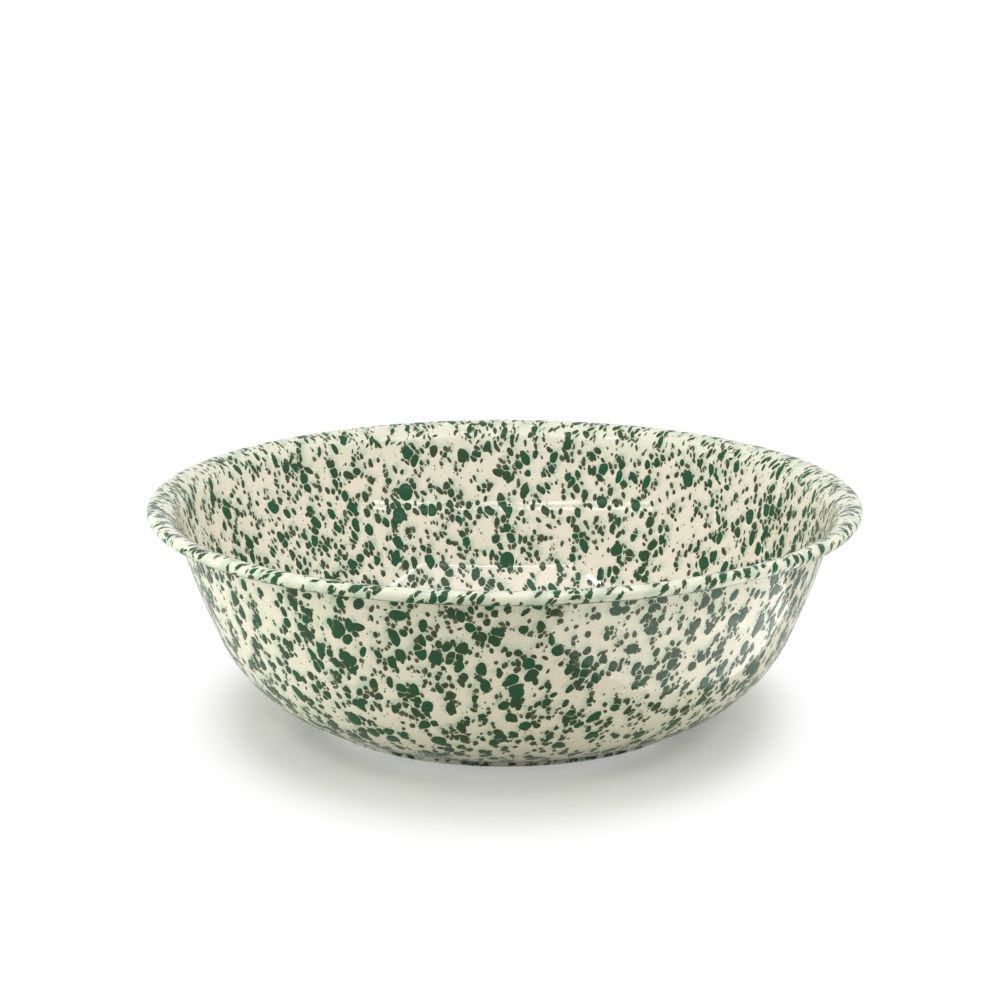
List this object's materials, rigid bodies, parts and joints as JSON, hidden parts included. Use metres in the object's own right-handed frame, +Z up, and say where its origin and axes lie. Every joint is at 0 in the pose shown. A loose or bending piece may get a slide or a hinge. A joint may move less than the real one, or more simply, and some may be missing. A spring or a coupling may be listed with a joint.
{
  "type": "basin bowl",
  "caption": "Wide deep round basin bowl of enamelled steel with a flared lip, a rolled rim, a pressed foot and splattered glass inside and out.",
  "frame": {"origin": "centre of the plane that the bowl stands on, under the bowl's axis", "axes": "+Z up along the bowl's axis; the bowl is round, so X and Y are free"},
  "size_m": [0.3559, 0.356, 0.11],
  "materials": {
    "sheet_steel": "matt, pickled low-carbon sheet",
    "ground_enamel": "glossy dark blue-black grip coat",
    "cream_enamel": "glossy cream glass",
    "green_enamel": "glossy dark green glass"
  },
  "bodies": {
    "root": {"steel_shell": "sheet_steel", "inner_ground_coat": "ground_enamel", "outer_ground_coat": "ground_enamel", "inner_cover_coat": "cream_enamel", "outer_cover_coat": "cream_enamel", "inner_splatter": "green_enamel", "outer_splatter": "green_enamel"}
  },
  "joints": []
}
